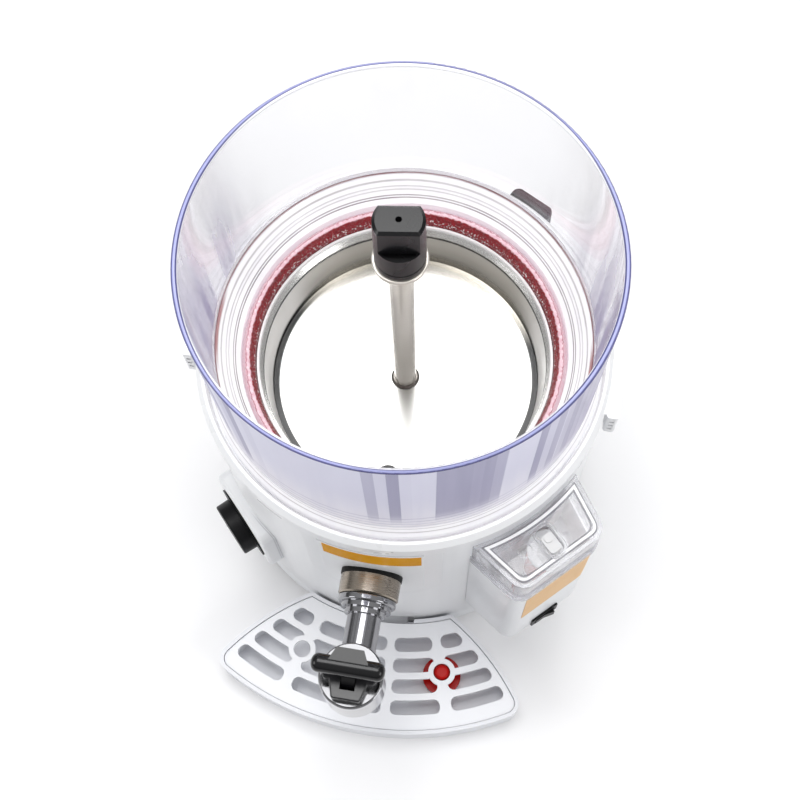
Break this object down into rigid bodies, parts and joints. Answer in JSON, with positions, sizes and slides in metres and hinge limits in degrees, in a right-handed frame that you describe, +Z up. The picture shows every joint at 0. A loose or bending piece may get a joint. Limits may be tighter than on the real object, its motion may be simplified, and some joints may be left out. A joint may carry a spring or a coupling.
{
  "type": "hot chocolate dispenser",
  "caption": "Countertop hot drink dispenser: clear lift-off bowl over a heated steel basin, stirrer post, lever tap, water filler box and drip tray.",
  "frame": {"origin": "on the bowl's axis at table level, under the rubber feet", "axes": "+Z up, -Y towards the tap, +X to the right of someone facing the tap"},
  "size_m": [0.2672, 0.3456, 0.377],
  "materials": {
    "white_body": "satin white moulding",
    "white_tray": "satin white moulding",
    "clear_bowl": "clear polished, faint violet edge",
    "clear_lid": "clear polished",
    "red_silicone": "matt dark red",
    "red_plastic": "smooth red",
    "white_tab": "smooth white",
    "brushed_steel": "satin",
    "chrome": "polished plating",
    "black_plastic": "fine satin",
    "black_rubber": "matt",
    "inner_steel": "plain sheet and bar",
    "motor_paint": "grey paint",
    "bush_brass": "turned",
    "inner_plastic": "plain"
  },
  "bodies": {
    "machine": {"body_shell": "white_body", "body_ring": "white_body", "filler_box": "white_body", "bowl_gasket": "red_silicone", "steel_basin": "brushed_steel", "centre_tube": "brushed_steel", "tube_collar": "brushed_steel", "tube_flange": "brushed_steel", "tap_collar": "brushed_steel", "lever_pin": "brushed_steel", "tap_nut": "chrome", "tap_pipe": "chrome", "tap_head": "chrome", "tap_cap": "chrome", "tap_bonnet": "black_plastic", "dial_plate": "black_plastic", "switch_frame": "black_plastic", "cord_inlet": "black_plastic", "cord_gland": "black_plastic", "tap_gasket": "black_rubber", "rubber_feet": "black_rubber", "base_plate": "inner_steel", "water_bath": "inner_steel", "outlet_tube": "inner_steel", "heater_ring": "inner_steel", "motor_bracket": "inner_steel", "bracket_spacers": "inner_steel", "base_screws": "inner_steel", "filler_tube": "inner_steel", "tap_spring": "inner_steel", "gear_case": "motor_paint", "motor_can": "motor_paint", "upper_bush": "bush_brass", "lower_bush": "bush_brass", "thermostat_body": "inner_plastic", "thermal_cutout": "inner_plastic", "terminal_block": "inner_plastic"},
    "bowl": {"bowl": "clear_bowl"},
    "stirrer_drive": {"drive_shaft": "brushed_steel", "drive_cap": "black_plastic", "motor_coupler": "inner_steel", "motor_output": "inner_steel"},
    "dial": {"dial_knob": "black_plastic", "dial_spindle": "inner_steel"},
    "filler_lid": {"filler_lid": "clear_lid"},
    "level_float": {"level_float": "red_plastic", "float_head": "white_tab"},
    "rocker": {"switch_rocker": "black_plastic"},
    "lever": {"tap_lever": "black_plastic"},
    "plunger": {"plunger": "bush_brass", "plunger_seal": "black_rubber"},
    "tray": {"drip_tray": "white_tray"},
    "grille": {"drip_grille": "white_tray"},
    "tray_float": {"tray_float": "red_plastic"}
  },
  "joints": [
    {"name": "bowl_lift", "type": "slide", "parent": "machine", "child": "bowl", "axis": [0, 0, 1], "range_m": [0, 0.2]},
    {"name": "stirrer_spin", "type": "hinge", "parent": "machine", "child": "stirrer_drive", "pos_m": [0, 0, 0.35], "axis": [0, 0, 1], "continuous": true},
    {"name": "dial_turn", "type": "hinge", "parent": "machine", "child": "dial", "pos_m": [-0.10239, -0.09548, 0.0885], "axis": [0.7314, 0.682, 0], "range_deg": [0, 270]},
    {"name": "filler_lid_lift", "type": "slide", "parent": "machine", "child": "filler_lid", "axis": [0, 0, 1], "range_m": [0, 0.06]},
    {"name": "level_float_rise", "type": "slide", "parent": "machine", "child": "level_float", "axis": [0, 0, 1], "range_m": [0, 0.012]},
    {"name": "rocker_tilt", "type": "hinge", "parent": "machine", "child": "rocker", "pos_m": [0.11172, -0.11172, 0.0545], "axis": [0, 0, 1], "range_deg": [0, 16]},
    {"name": "lever_pull", "type": "hinge", "parent": "machine", "child": "lever", "pos_m": [0, -0.194, 0.181], "axis": [1, 0, 0], "range_deg": [0, 40], "stiffness_Nm_per_rad": 0.3, "springref_deg": -5.73},
    {"name": "plunger_lift", "type": "slide", "parent": "machine", "child": "plunger", "axis": [0, 0, 1], "range_m": [0, 0.006], "deforming": ["tap_spring"]},
    {"name": "tray_slide", "type": "slide", "parent": "machine", "child": "tray", "axis": [0, -1, 0], "range_m": [0, 0.1]},
    {"name": "grille_lift", "type": "slide", "parent": "tray", "child": "grille", "axis": [0, 0, 1], "range_m": [0, 0.06]},
    {"name": "tray_float_rise", "type": "slide", "parent": "tray", "child": "tray_float", "axis": [0, 0, 1], "range_m": [0, 0.008]}
  ],
  "couplings": [
    {"joint": "lever_pull", "follows": "plunger_lift", "rad_per_m": 116.3}
  ]
}
